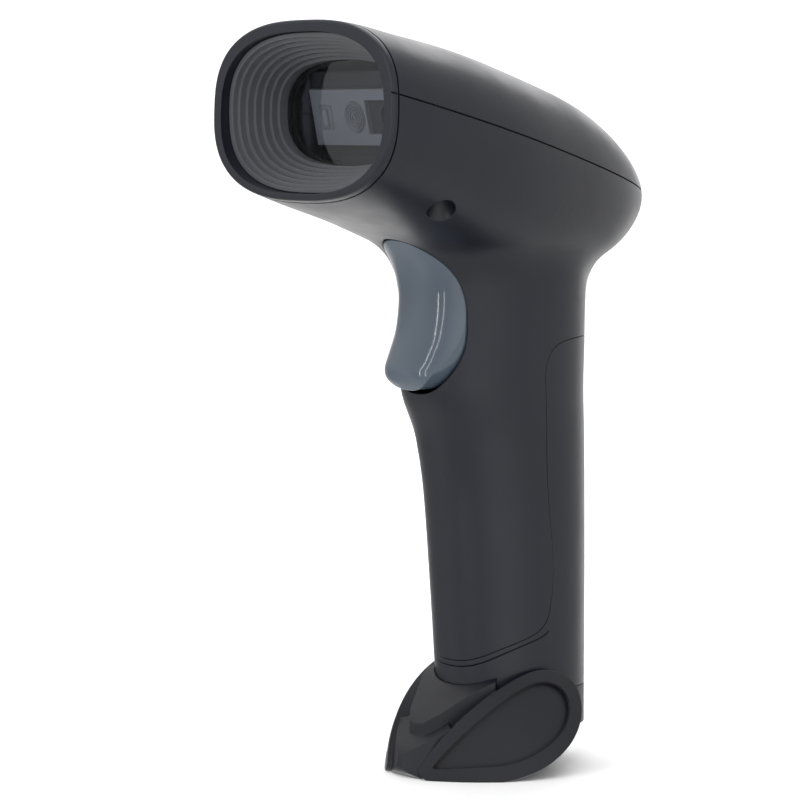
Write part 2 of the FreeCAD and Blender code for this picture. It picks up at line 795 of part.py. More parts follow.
def lamp_lenses():
    lenses = []
    for x in (-LAMP_X, LAMP_X):
        block = engine_bar(x - 2.0, x + 2.0, -1.3, 0, -2.6, 2.6)
        bead = tipped(cylinder(0.9, V(x, -1.3, -1.7), V(x, -1.3, 1.7)))
        lenses.append(block.fuse(bead))
    return lenses


def aimer_lens():
    disc = engine_rod(AIMER_R, AIMER_X, -1.3, 0)
    for ring in range(1, 5):
        outer = engine_rod(ring * 0.72 + 0.12, AIMER_X, -1.5, -1.2)
        inner = engine_rod(ring * 0.72 - 0.12, AIMER_X, -1.6, -1.1)
        disc = disc.fuse(outer.cut(inner))
    return disc


def lens_barrel():
    barrel = engine_rod(2.9, CAMERA_X, -0.3, 6.9)
    return barrel.cut(engine_rod(2.0, CAMERA_X, -1, 1.2))


def camera_lens():
    return engine_rod(1.95, CAMERA_X, 0.2, 1.2)


def sensor_board():
    return engine_bar(-14, 14, 6.9, 8.1, -6.4, 6.4)


def engine_screws():
    seat = ENGINE_SCREW + V(0, 0, ENGINE_SHELF_Z + 1.5)
    return both_sides(screw(seat, V(0, 0, -1), 7.5, 1.9, 1.2))


def engine_ribbon():
    """Flat cable from the sensor board to the main board."""
    start = tipped(Part.Vertex(V(0, 8.15, 3.0))).Point
    end = seam_point(BOARD_FRONT + 4.0, -BOARD_DROP + 0.4)
    rise = [
        (start.y, start.z),
        (start.y + 2.2, start.z + 0.8),
        (end.y - 4.0, end.z + 0.9),
        (end.y, end.z + 0.1),
    ]
    under = [(y, z - RIBBON_T) for y, z in reversed(rise)]
    return side_profile(rise + under, 4.0)


# ---- Main board ----

def on_board(x0, x1, along0, along1, lift0, lift1):
    """A block over the main board: sideways, along the head axis, and above its upper face."""
    block = box(x0, x1, along0, along1, lift0 - BOARD_DROP, lift1 - BOARD_DROP)
    block.rotate(V(0, 0, 0), X_AXIS, -math.degrees(HEAD_TILT))
    block.translate(HEAD_START)
    return block


def main_board():
    outline = [(-16.0, BOARD_FRONT), (-16.0, 42.0), (-12.0, BOARD_BACK), (12.0, BOARD_BACK), (16.0, 42.0),
               (16.0, BOARD_FRONT)]
    corners = [seam_point(along, -BOARD_DROP - BOARD_T, x) for x, along in outline]
    board = Part.Face(Part.makePolygon(corners + corners[:1])).extrude(HEAD_UP * (BOARD_T - 0.02))
    cuts = []
    for x, along in BOARD_POSTS:
        low = board_corner(x, along)
        cuts += both_sides(cylinder(HOLE_R, low - HEAD_UP * 5, low + HEAD_UP * 5))
    return cut_away(board, cuts)


def processor_chip():
    return on_board(-6, 6, 44, 56, 0, 1.4)


def radio_module():
    board = on_board(-5.5, 5.5, 60, 73.5, 0, 0.8)
    can = on_board(-4.8, 4.8, 60.7, 69.5, 0.8, 2.4)
    return board.fuse(can)


def buzzer():
    centre = seam_point(52, -BOARD_DROP - BOARD_T, 0)
    can = cylinder(6.0, centre, centre - HEAD_UP * 5.5)
    return can.cut(cylinder(1.0, centre - HEAD_UP * 4.5, centre - HEAD_UP * 6))


def board_screws():
    screws = []
    for x, along in BOARD_POSTS:
        seat = seam_point(along, -BOARD_DROP - BOARD_T, x)
        screws += both_sides(screw(seat, HEAD_UP, 7.0, 1.9, 1.2))
    return screws


# ---- Trigger ----

def trigger_front_form(inset):
    """The finger face as a solid, rounded across."""
    bottom = TRIGGER_FRONT[0][0]
    top = TRIGGER_FRONT[-1][0]
    rings = []
    for step in range(TRIGGER_RINGS):
        z = bottom + (top - bottom) * step / (TRIGGER_RINGS - 1)
        front = section_at(TRIGGER_FRONT, z)[0]
        centre = V(0, TRIGGER_MID_Y, z)
        half_d = TRIGGER_MID_Y - front - inset
        half_w = TRIGGER_FACE_HALF_W - inset
        rings.append(superellipse_wire(centre, X_AXIS, Y_AXIS, half_w, half_d, FACE_SQUARENESS, 24))
    return Part.makeLoft(rings, True, False)


def trigger_outline(shrink, back):
    half_w = TRIGGER_HALF_W - shrink
    half_h = TRIGGER_HALF_H - shrink
    return superellipse_prism(half_w, half_h, TRIGGER_SQUARENESS, TRIGGER_Z, -40, back)


def trigger_relief():
    """What has to go above and behind the pivot so that the pulled trigger clears its opening."""
    swung = trigger_outline(0, TRIGGER_BACK_Y + 1)
    swung.rotate(V(0, PIVOT_Y, PIVOT_Z), X_AXIS, -TRIGGER_STROKE)
    return box(-20, 20, PIVOT_Y, 0, PIVOT_Z, 130).cut(swung)


def trigger():
    outline = trigger_outline(0, TRIGGER_BACK_Y)
    body = trigger_front_form(0).common(outline)
    body = body.cut(trigger_front_form(TRIGGER_WALL).common(trigger_outline(TRIGGER_WALL, -5)))
    within = trigger_front_form(0.8).common(outline)
    hub = cylinder(2.6, V(-20, PIVOT_Y, PIVOT_Z), V(20, PIVOT_Y, PIVOT_Z))
    rib = box(-1.2, 1.2, -40, PLUNGER_TIP_Y - 0.05, SWITCH_Z - 1.5, SWITCH_Z + 1.5)
    peg = cylinder(1.5, V(0, -40, SPRING_Z), V(0, SPRING_FRONT_Y, SPRING_Z))
    pad = cylinder(3.2, V(0, -40, SPRING_Z), V(0, SPRING_FRONT_Y - 1.6, SPRING_Z))
    body = joined(body, [piece.common(within) for piece in (hub, rib, pad, peg)])
    pin_hole = cylinder(PIN_R + RUNNING_GAP, V(-20, PIVOT_Y, PIVOT_Z), V(20, PIVOT_Y, PIVOT_Z))
    return cut_away(body, [pin_hole, trigger_relief()])


def trigger_pin():
    return cylinder(PIN_R, V(-PIN_HALF, PIVOT_Y, PIVOT_Z), V(PIN_HALF, PIVOT_Y, PIVOT_Z))


def trigger_spring():
    """A compression spring between the trigger and the switch board."""
    length = SPRING_BACK_Y - SPRING_FRONT_Y + 1.6
    turns = 4.5
    helix = Part.makeLongHelix(length / turns, length - 0.6, 2.3)
    path = Part.Wire(helix.Edges)
    profile = Part.Wire([Part.Circle(V(2.3, 0, 0), Y_AXIS, 0.25).toShape()])
    coil = path.makePipeShell([profile], True, True)
    coil.rotate(V(0, 0, 0), X_AXIS, -90)
    coil.translate(V(0, SPRING_FRONT_Y - 1.6 + 0.3, SPRING_Z))
    return coil


def switch_board():
    return box(-7, 7, SWITCH_WALL_Y - 1.2, SWITCH_WALL_Y, 86.0, 106.0)


def switch_body():
    front = SWITCH_WALL_Y - 1.2 - SWITCH_T
    can = box(-3, 3, front, SWITCH_WALL_Y - 1.2, SWITCH_Z - 3, SWITCH_Z + 3)
    return can.cut(cylinder(1.55, V(0, front - 1, SWITCH_Z), V(0, SWITCH_WALL_Y - 1.6, SWITCH_Z)))


def switch_plunger():
    return cylinder(1.5, V(0, PLUNGER_TIP_Y, SWITCH_Z), V(0, PLUNGER_TIP_Y + 3.0, SWITCH_Z))


# ---- Battery and leads ----

def battery():
    foot_end = V(0, CELL_Y, CELL_BOTTOM)
    cell = cylinder(CELL_R, foot_end, foot_end + V(0, 0, CELL_LENGTH - 0.8))
    cell = cell.makeFillet(0.8, [e for e in cell.Edges if e.Length > 50 and len(e.Vertexes) == 1])
    return cell.fuse(cylinder(3.0, foot_end + V(0, 0, CELL_LENGTH - 0.9), foot_end + V(0, 0, CELL_LENGTH)))


def battery_contacts():
    top = CELL_BOTTOM + CELL_LENGTH
    plate_z = top + CONTACT_SPACE
    low_z = CELL_BOTTOM - CONTACT_SPACE
    plate = box(-4.5, 4.5, -1.5, 8.0, plate_z - 0.4, plate_z)
    dome = cylinder(2.0, V(0, CELL_Y, top + 0.02), V(0, CELL_Y, plate_z - 0.4))
    low_plate = box(-4.5, 4.5, -1.5, 9.0, low_z, low_z + 0.4)
    low_dome = cylinder(2.0, V(0, CELL_Y, low_z + 0.4), V(0, CELL_Y, CELL_BOTTOM - 0.02))
    return [plate.fuse(dome), low_plate.fuse(low_dome)]


def battery_pad():
    """Foam between the cell and the grip cover."""
    pad = box(-5, 5, 9, 16, 42, 78).common(grip_form(WALL + 0.05))
    return pad.cut(cylinder(CELL_R + 0.1, V(0, CELL_Y, 30), V(0, CELL_Y, 90)))


def battery_leads():
    """A pair of leads from the upper contact up to the main board."""
    leads = []
    for x in (-6.5, 6.5):
        points = [V(x, 7.4, 96.6), V(x, 8.0, 101.0), V(x, 8.5, 108.0), V(x, 9.0, 118.0), V(x, 9.6, 124.0)]
        leads.append(wire_tube(points, 0.6))
    return leads


def cover_screw():
    return screw(V(0, COVER_SEAT_Y, COVER_SCREW_Z), V(0, -1, 0), 9.0, 2.2)


def neck_screws():
    return both_sides(screw(NECK_SCREW + V(0, 0, NECK_SEAT_Z), Z_AXIS, 20.0, 1.85))


PARTS = {
    "foot": foot,
    "foot_screws": foot_screws,
    "charging_board": charging_board,
    "charging_socket": charging_socket,
    "light_hood": light_hood,
    "scan_window": scan_window,
    "window_gasket": window_gasket,
    "engine_bracket": engine_bracket,
    "engine_front": engine_front,
    "lamp_lenses": lamp_lenses,
    "aimer_lens": aimer_lens,
    "lens_barrel": lens_barrel,
    "camera_lens": camera_lens,
    "sensor_board": sensor_board,
    "engine_screws": engine_screws,
    "engine_ribbon": engine_ribbon,
    "main_board": main_board,
    "processor_chip": processor_chip,
    "radio_module": radio_module,
    "buzzer": buzzer,
    "board_screws": board_screws,
    "trigger": trigger,
    "trigger_pin": trigger_pin,
    "trigger_spring": trigger_spring,
    "switch_board": switch_board,
    "switch_body": switch_body,
    "switch_plunger": switch_plunger,
    "battery": battery,
    "battery_contacts": battery_contacts,
    "battery_pad": battery_pad,
    "battery_leads": battery_leads,
    "cover_screw": cover_screw,
    "neck_screws": neck_screws,
}


def build_all():
    os.makedirs("parts", exist_ok=True)
    for name, build in PARTS.items():
        save(name, build())
    shell = casing()
    skin = body_form(WALL / 2)
    lines = seam_and_rim_lines()
    save("top_cover", top_cover(shell, skin, lines))
    save("main_housing", main_housing(shell, skin, lines))
    save("rear_grip_cover", rear_grip_cover(shell, skin))


build_all()
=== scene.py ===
import bpy
import json
import math
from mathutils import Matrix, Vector


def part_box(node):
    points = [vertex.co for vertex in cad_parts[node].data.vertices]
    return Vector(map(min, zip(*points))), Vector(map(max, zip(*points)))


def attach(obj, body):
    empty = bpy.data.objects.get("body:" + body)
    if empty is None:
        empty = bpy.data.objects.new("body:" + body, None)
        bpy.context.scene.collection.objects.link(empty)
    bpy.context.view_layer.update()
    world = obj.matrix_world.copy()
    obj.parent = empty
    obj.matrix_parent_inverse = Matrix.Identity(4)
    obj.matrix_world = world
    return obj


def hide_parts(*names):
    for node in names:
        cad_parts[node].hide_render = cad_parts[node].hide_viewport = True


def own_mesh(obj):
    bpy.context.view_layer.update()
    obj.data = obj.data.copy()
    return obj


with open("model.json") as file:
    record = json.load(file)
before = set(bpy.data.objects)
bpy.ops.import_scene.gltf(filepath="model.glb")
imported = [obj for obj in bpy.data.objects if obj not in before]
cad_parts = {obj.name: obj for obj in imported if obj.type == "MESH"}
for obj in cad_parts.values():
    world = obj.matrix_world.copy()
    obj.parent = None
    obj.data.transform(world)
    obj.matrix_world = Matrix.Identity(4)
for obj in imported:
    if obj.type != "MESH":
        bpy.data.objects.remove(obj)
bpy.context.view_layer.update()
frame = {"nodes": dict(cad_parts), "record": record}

MM = 0.001
NODES = frame["nodes"]

# Surfaces
COATED_FACES = 1.0
LENS_STEP_MM = 0.15
GRAIN_DETAIL = 2.5
# Millimetres between repeats of a wave texture, for each unit of its scale
WAVE_REPEAT = 3.18

# The soft and springy pieces, in millimetres
SPRING_WIRE_R = 0.25
SPRING_TURNS = 6.0
SPRING_CLOSED_TURNS = 0.75
LEAD_R = 0.6
# Each point of a lead's bend: share of its height, lean towards the back
LEAD_BEND = ((0.18, 0.6), (0.42, 0.9), (0.75, 1.4))
RIBBON_HALF_THICK = 0.15
RIBBON_COLUMNS = 8
PAD_HALF_LENGTH = 18.0
PAD_HALF_WIDTH = 5.0
PAD_BACK_Y = 15.3
PAD_GAP = 0.1
PAD_EDGE = 0.4
PAD_THINNEST = 0.3
PAD_BACK_CURVE = 0.045
PAD_CROWN = 0.10
PAD_COLUMNS = 16
PAD_ROWS = 40

# The camera, in metres and degrees: turn from the front, height above level
CAMERA_TURN = 51.0
CAMERA_RISE = 5.0
CAMERA_DISTANCE = 0.70
CAMERA_TARGET = Vector((-0.0142, -0.0176, 0.0784))
CAMERA_LENS = 146.475
CAMERA_SENSOR = 36.0

# The studio, in metres
FLOOR_NEAR = -1.5
FLOOR_BEND = 0.9
FLOOR_BEND_R = 0.6
FLOOR_TOP = 3.0
FLOOR_HALF_WIDTH = 3.0
FLOOR_BEND_STEPS = 12
WORLD_STRENGTH = 0.80
# Each patch of the surroundings: turn from the front, height above level, spread, change of brightness
WORLD_PATCHES = [
    (-84, -12, 37, -0.45),
    (-158, -6, 24, 0.75),
    (68, 0, 45, 0.50),
    (-13, -18, 35, -0.15),
    (-124, -30, 30, 0.80),
    (-137, 14, 22, -0.50),
]


# ---- Material helpers ----

def new_material(name):
    material = bpy.data.materials.new(name)
    material.use_nodes = True
    tree = material.node_tree
    return material, tree, tree.nodes["Principled BSDF"]


def add_node(tree, kind, **inputs):
    node = tree.nodes.new(kind)
    for key, value in inputs.items():
        node.inputs[key.replace("_", " ")].default_value = value
    return node


def noise(tree, scale, detail=2.0, roughness=0.5):
    where = tree.nodes.new("ShaderNodeTexCoord")
    texture = add_node(tree, "ShaderNodeTexNoise", Scale=scale, Detail=detail, Roughness=roughness)
    tree.links.new(where.outputs["Object"], texture.inputs["Vector"])
    return texture.outputs["Fac"]


def cells(tree, scale):
    where = tree.nodes.new("ShaderNodeTexCoord")
    texture = add_node(tree, "ShaderNodeTexVoronoi", Scale=scale)
    tree.links.new(where.outputs["Object"], texture.inputs["Vector"])
    return texture.outputs["Distance"]


def remap(tree, source, low, high, from_low=0.3, from_high=0.7):
    span = tree.nodes.new("ShaderNodeMapRange")
    span.inputs["From Min"].default_value = from_low
    span.inputs["From Max"].default_value = from_high
    span.inputs["To Min"].default_value = low
    span.inputs["To Max"].default_value = high
    tree.links.new(source, span.inputs["Value"])
    return span.outputs["Result"]


def colour_between(tree, source, first, second):
    mix = tree.nodes.new("ShaderNodeMix")
    mix.data_type = "RGBA"
    mix.inputs["A"].default_value = (*first, 1)
    mix.inputs["B"].default_value = (*second, 1)
    tree.links.new(source, mix.inputs["Factor"])
    return mix.outputs["Result"]


def bump(tree, height, strength, distance, under=None):
    relief = add_node(tree, "ShaderNodeBump", Strength=strength, Distance=distance)
    tree.links.new(height, relief.inputs["Height"])
    if under is not None:
        tree.links.new(under, relief.inputs["Normal"])
    return relief.outputs["Normal"]


def rounded_edges(tree, radius_mm):
    """A normal that rounds over sharp edges, as a moulding's edges are."""
    edge = tree.nodes.new("ShaderNodeBevel")
    edge.samples = 6
    edge.inputs["Radius"].default_value = radius_mm * MM
    return edge.outputs["Normal"]


def moulded_plastic(name, colour, rough, grain_mm, grain_deep, specular=0.5, coat=0.0, edge_mm=0.15):
    """Moulded plastic: a fine grain, slow changes of gloss, a slight change of shade, soft edges."""
    material, tree, shader = new_material(name)
    lighter = [c * 1.25 for c in colour]
    shade = noise(tree, 60.0, 3.0)
    tree.links.new(colour_between(tree, shade, colour, lighter), shader.inputs["Base Color"])
    gloss = remap(tree, noise(tree, 90.0, 4.0), rough - 0.05, rough + 0.05)
    tree.links.new(gloss, shader.inputs["Roughness"])
    shader.inputs["Specular IOR Level"].default_value = specular
    shader.inputs["Coat Weight"].default_value = coat
    shader.inputs["Coat Roughness"].default_value = 0.06
    surface = rounded_edges(tree, edge_mm)
    if grain_deep:
        grain = noise(tree, 1.0 / (grain_mm * MM), GRAIN_DETAIL, 0.6)
        surface = bump(tree, grain, 1.0, grain_deep * MM, surface)
    tree.links.new(surface, shader.inputs["Normal"])
    return material


def metal(name, colour, rough):
    material, tree, shader = new_material(name)
    shader.inputs["Metallic"].default_value = 1.0
    lighter = [min(1.0, c * 1.2) for c in colour]
    streak = noise(tree, 700.0, 3.0)
    tree.links.new(colour_between(tree, streak, colour, lighter), shader.inputs["Base Color"])
    tree.links.new(remap(tree, streak, rough - 0.08, rough + 0.08), shader.inputs["Roughness"])
    return material


def arithmetic(tree, operation, first, second):
    """One sum on two values, each a number or another node's output."""
    node = tree.nodes.new("ShaderNodeMath")
    node.operation = operation
    for slot, value in zip(node.inputs, (first, second)):
        if isinstance(value, (int, float)):
            slot.default_value = value
        else:
            tree.links.new(value, slot)
    return node.outputs["Value"]


def thin_glass(name, tint, index=1.49, rough=0.02):
    """A clear sheet: tinted see-through, with both faces' gloss on the side that faces the eye."""
    material, tree, shader = new_material(name)
    tree.nodes.remove(shader)
    smudge = noise(tree, 140.0, 3.0)
    through = tree.nodes.new("ShaderNodeBsdfTransparent")
    tree.links.new(colour_between(tree, smudge, tint, [c * 0.96 for c in tint]), through.inputs["Color"])
    gloss = tree.nodes.new("ShaderNodeBsdfGlossy")
    gloss.inputs["Color"].default_value = (0.96, 0.98, 1.0, 1)
    tree.links.new(remap(tree, smudge, rough, rough + 0.03), gloss.inputs["Roughness"])
    edge = add_node(tree, "ShaderNodeFresnel", IOR=index)
    side = tree.nodes.new("ShaderNodeNewGeometry")
    front = arithmetic(tree, "SUBTRACT", 1.0, side.outputs["Backfacing"])
    both_faces = arithmetic(tree, "MULTIPLY", edge.outputs["Fac"], COATED_FACES)
    share = arithmetic(tree, "MINIMUM", arithmetic(tree, "MULTIPLY", both_faces, front), 1.0)
    mix = tree.nodes.new("ShaderNodeMixShader")
    tree.links.new(share, mix.inputs["Fac"])
    tree.links.new(through.outputs["BSDF"], mix.inputs[1])
    tree.links.new(gloss.outputs["BSDF"], mix.inputs[2])
    tree.links.new(mix.outputs["Shader"], tree.nodes["Material Output"].inputs["Surface"])
    return material


def vector_step(tree, operation, source, value=None):
    """One step on a vector. A length or a dot product comes out as a number."""
    node = tree.nodes.new("ShaderNodeVectorMath")
    node.operation = operation
    tree.links.new(source, node.inputs[0])
    if value is not None:
        node.inputs[1].default_value = value
    return node.outputs["Value" if operation in ("LENGTH", "DOT_PRODUCT") else "Vector"]


def ringed_lens(name, colour, node, pitch_mm):
    """A milky moulded lens with fine rings round its middle, cut as steps, the low part of each ring
    darkened with painted shade.
    """
    material, tree, shader = new_material(name)
    low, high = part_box(node)
    middle = [(a + b) / 2 for a, b in zip(low, high)]
    where = tree.nodes.new("ShaderNodeTexCoord")
    from_middle = vector_step(tree, "SUBTRACT", where.outputs["Object"], middle)
    flat = vector_step(tree, "MULTIPLY", from_middle, (1, 0, 1))
    reach = vector_step(tree, "LENGTH", flat)
    turns = arithmetic(tree, "MULTIPLY", reach, 1.0 / (pitch_mm * MM))
    ring = arithmetic(tree, "FRACT", turns, 0.0)
    # Painted shade: the low part of each ring is coloured darker, as if shadowed in its step.
    painted_groove_shade = remap(tree, ring, 0.0, 1.0, 0.0, 0.35)
    darker = [c * 0.45 for c in colour]
    tree.links.new(colour_between(tree, painted_groove_shade, darker, colour), shader.inputs["Base Color"])
    shader.inputs["Roughness"].default_value = 0.12
    tree.links.new(bump(tree, ring, 0.7, LENS_STEP_MM * MM), shader.inputs["Normal"])
    return material


def striped_film(name, film, copper, pitch_mm):
    """Flat flexible cable: copper tracks side by side across X, under a glossy film."""
    material, tree, shader = new_material(name)
    where = tree.nodes.new("ShaderNodeTexCoord")
    scale = 1.0 / (pitch_mm * MM * WAVE_REPEAT)
    wave = add_node(tree, "ShaderNodeTexWave", Scale=scale, Distortion=0.0)
    wave.bands_direction = "X"
    tree.links.new(where.outputs["Object"], wave.inputs["Vector"])
    tracks = remap(tree, wave.outputs["Fac"], 0.0, 1.0, 0.45, 0.55)
    tree.links.new(colour_between(tree, tracks, film, copper), shader.inputs["Base Color"])
    shader.inputs["Roughness"].default_value = 0.28
    shader.inputs["Coat Weight"].default_value = 0.4
    tree.links.new(bump(tree, tracks, 0.6, 0.03 * MM), shader.inputs["Normal"])
    return material


def foam(name, colour, cell_mm):
    """Open foam: pits darkened with painted shade between lighter cell walls, no gloss."""
    material, tree, shader = new_material(name)
    pits = cells(tree, 1.0 / (cell_mm * MM))
    lighter = [c * 2.2 for c in colour]
    # Painted shade: darker towards each cell's middle, as shade in the pits.
    shade = remap(tree, pits, 1.0, 0.0, 0.15, 0.6)
    tree.links.new(colour_between(tree, shade, lighter, colour), shader.inputs["Base Color"])
    shader.inputs["Roughness"].default_value = 0.95
    shader.inputs["Specular IOR Level"].default_value = 0.15
    tree.links.new(bump(tree, shade, 1.0, 0.25 * cell_mm * MM), shader.inputs["Normal"])
    return material


MATERIALS = {
    "casing": moulded_plastic(
        "casing_plastic", (0.0058, 0.0066, 0.0120), 0.36, 0.30, 0.010, specular=0.44, edge_mm=0.30),
    "foot": moulded_plastic(
        "foot_plastic", (0.0050, 0.0054, 0.0090), 0.44, 0.26, 0.009, specular=0.40, edge_mm=0.50),
    "hood": moulded_plastic(
        "hood_plastic", (0.062, 0.066, 0.073), 0.34, 0.22, 0.004, specular=0.6, edge_mm=0.20),
    "trigger": moulded_plastic(
        "trigger_plastic", (0.049, 0.067, 0.089), 0.10, 0.5, 0.0, specular=0.6, coat=0.2, edge_mm=0.40),
    "window": thin_glass("window_glass", (0.80, 0.82, 0.85)),
    "gasket": moulded_plastic("gasket_rubber", (0.004, 0.004, 0.004), 0.7, 0.3, 0.01),
    "engine_dark": moulded_plastic("engine_dark_plastic", (0.024, 0.025, 0.030), 0.5, 0.3, 0.008),
    "engine_grey": moulded_plastic("engine_grey_plastic", (0.24, 0.24, 0.25), 0.4, 0.3, 0.004),
    "lens": thin_glass("lens_glass", (0.80, 0.83, 0.87), 1.6),
    "circuit_board": moulded_plastic("board_laminate", (0.008, 0.07, 0.03), 0.3, 0.8, 0.01),
    "chip": moulded_plastic("chip_resin", (0.012, 0.012, 0.012), 0.5, 0.2, 0.006),
    "switch": moulded_plastic("switch_plastic", (0.01, 0.01, 0.01), 0.5, 0.3, 0.005),
    "switch_plunger": moulded_plastic("plunger_plastic", (0.6, 0.6, 0.56), 0.45, 0.3, 0.004),
    "battery": moulded_plastic("battery_sleeve", (0.02, 0.09, 0.25), 0.25, 2.0, 0.01),
    "foam": foam("foam_pad", (0.012, 0.012, 0.013), 0.9),
    "lead": moulded_plastic("lead_insulation", (0.25, 0.01, 0.01), 0.35, 0.5, 0.004),
    "ribbon": striped_film("ribbon_film", (0.24, 0.09, 0.015), (0.55, 0.26, 0.08), 1.0),
    "steel": metal("plain_steel", (0.55, 0.56, 0.58), 0.3),
    "screw": metal("black_screw", (0.10, 0.10, 0.11), 0.35),
    "spring": metal("spring_steel", (0.62, 0.62, 0.62), 0.22),
    "brass": metal("plated_brass", (0.70, 0.52, 0.24), 0.25),
}

OWN_MATERIALS = {
    "aimer_lens": ringed_lens("aimer_lens_plastic", (0.22, 0.22, 0.23), "aimer_lens", 0.62),
    "lamp_lenses": moulded_plastic("lamp_lens_plastic", (0.20, 0.20, 0.21), 0.12, 0.5, 0.02, 0.6, 0.3),
}

for part in frame["record"]["subparts"]:
    node = NODES[part["node"]]
    node.data.materials.clear()
    node.data.materials.append(OWN_MATERIALS.get(part["node"], MATERIALS[part["material_slot"]]))


# ---- Soft and springy pieces ----

def add_mesh(name, verts, faces, slot):
    """A smooth mesh from points in millimetres, with its record material."""
    mesh = bpy.data.meshes.new(name)
    mesh.from_pydata([Vector(v) * MM for v in verts], [], faces)
    for polygon in mesh.polygons:
        polygon.use_smooth = True
    mesh.materials.append(MATERIALS[slot])
    piece = bpy.data.objects.new(name, mesh)
    bpy.context.scene.collection.objects.link(piece)
    return piece


def spline(points, steps):
    """Points on a smooth curve through the given ones."""
    path = [Vector(p) for p in points]
    path = [path[0] * 2 - path[1]] + path + [path[-1] * 2 - path[-2]]
    smooth = []
    for i in range(1, len(path) - 2):
        before, start, end, after = path[i - 1:i + 3]
        for step in range(steps):
            t = step / steps
            bend = (2 * before - 5 * start + 4 * end - after) * t * t
            twist = (3 * start - before - 3 * end + after) * t * t * t
            smooth.append(start + ((end - before) * t + bend + twist) / 2)
    smooth.append(path[-2])
    return smooth


def tube(path, radius, sides=12):
    """Vertices and faces of a closed round tube along a path."""
    verts = []
    faces = []
    side = (path[1] - path[0]).orthogonal().normalized()
    for i, point in enumerate(path):
        ahead = path[min(i + 1, len(path) - 1)] - path[max(i - 1, 0)]
        ahead.normalize()
        side = (side - ahead * side.dot(ahead)).normalized()
        other = ahead.cross(side)
        for k in range(sides):
            turn = 2 * math.pi * k / sides
            verts.append(point + (side * math.cos(turn) + other * math.sin(turn)) * radius)
    for i in range(len(path) - 1):
        for k in range(sides):
            n = (k + 1) % sides
            faces.append((i * sides + k, i * sides + n, (i + 1) * sides + n, (i + 1) * sides + k))
    faces.append(tuple(reversed(range(sides))))
    faces.append(tuple(range((len(path) - 1) * sides, len(path) * sides)))
    return verts, faces


def in_mm(node):
    low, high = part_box(node)
    return [v / MM for v in low], [v / MM for v in high]


def make_spring():
    """The return spring: closed end turns, open in the middle."""
    low, high = in_mm("trigger_spring")
    wire = SPRING_WIRE_R
    closed = SPRING_CLOSED_TURNS
    open_turns = SPRING_TURNS - 2 * closed
    radius = (high[0] - low[0]) / 2 - wire
    middle_z = (low[2] + high[2]) / 2
    front = low[1] + wire
    length = high[1] - low[1] - 2 * wire
    path = []
    steps = 168
    for i in range(steps + 1):
        turn = SPRING_TURNS * i / steps
        open_share = min(max((turn - closed) / open_turns, 0.0), 1.0)
        ends = min(turn, closed) + max(turn - closed - open_turns, 0.0)
        along = ends * 2 * wire + open_share * (length - closed * 4 * wire)
        angle = 2 * math.pi * turn
        x = radius * math.cos(angle)
        z = middle_z + radius * math.sin(angle)
        path.append(Vector((x, front + along, z)))
    verts, faces = tube(path, wire, 10)
    spring = add_mesh("return_spring", verts, faces, "spring")
    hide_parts("trigger_spring")
    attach(spring, "root")
    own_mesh(spring)


def make_leads():
    """Two insulated leads from the battery's upper contact, with a slack bend, up to the main board."""
    low, high = in_mm("battery_leads")
    reach = high[0] - LEAD_R
    start_y = low[1] + LEAD_R
    for name, x, slack in (("lead_plus", -reach, 0.5), ("lead_minus", reach, -0.4)):
        points = [(x, start_y, low[2])]
        for share, lean in LEAD_BEND:
            z = low[2] + (high[2] - low[2]) * share
            points.append((x + slack * math.sin(math.pi * share), start_y + lean, z))
        points.append((x, high[1] - LEAD_R, high[2]))
        verts, faces = tube(spline(points, 8), LEAD_R, 14)
        lead = add_mesh(name, verts, faces, "lead")
        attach(lead, "root")
        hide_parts("battery_leads")


def layer_faces(rows, columns, close_ends):
    """Faces of a sheet made of two layers of points, joined along its sides and perhaps its ends."""
    row = columns + 1
    layer = row * (rows + 1)
    faces = []
    for i in range(rows):
        for k in range(columns):
            a = i * row + k
            faces.append((a, a + 1, a + row + 1, a + row))
            faces.append((layer + a, layer + a + row, layer + a + row + 1, layer + a + 1))
        for k in (0, columns):
            a = i * row + k
            faces.append((a, a + row, layer + a + row, layer + a))
    for i in (0, rows) if close_ends else ():
        for k in range(columns):
            a = i * row + k
            faces.append((a, a + 1, layer + a + 1, layer + a))
    return faces


def make_ribbon():
    """The flat cable from the sensor board, bowed down to its connector on the main board."""
    low, high = in_mm("engine_ribbon")
    half_w = (high[0] - low[0]) / 2
    points = [(low[1], high[2] - 0.9), (low[1] + 2.2, high[2] - 0.15)]
    points += [(high[1] - 4.0, low[2] + 0.9), (high[1], low[2] + 0.15)]
    path = spline([(0, y, z) for y, z in points], 10)
    verts = []
    for lift in (RIBBON_HALF_THICK, -RIBBON_HALF_THICK):
        for point in path:
            for k in range(RIBBON_COLUMNS + 1):
                x = half_w * (2 * k / RIBBON_COLUMNS - 1)
                verts.append((x, point.y, point.z + lift))
    faces = layer_faces(len(path) - 1, RIBBON_COLUMNS, False)
    ribbon = add_mesh("flat_cable", verts, faces, "ribbon")
    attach(ribbon, "root")
    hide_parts("engine_ribbon")


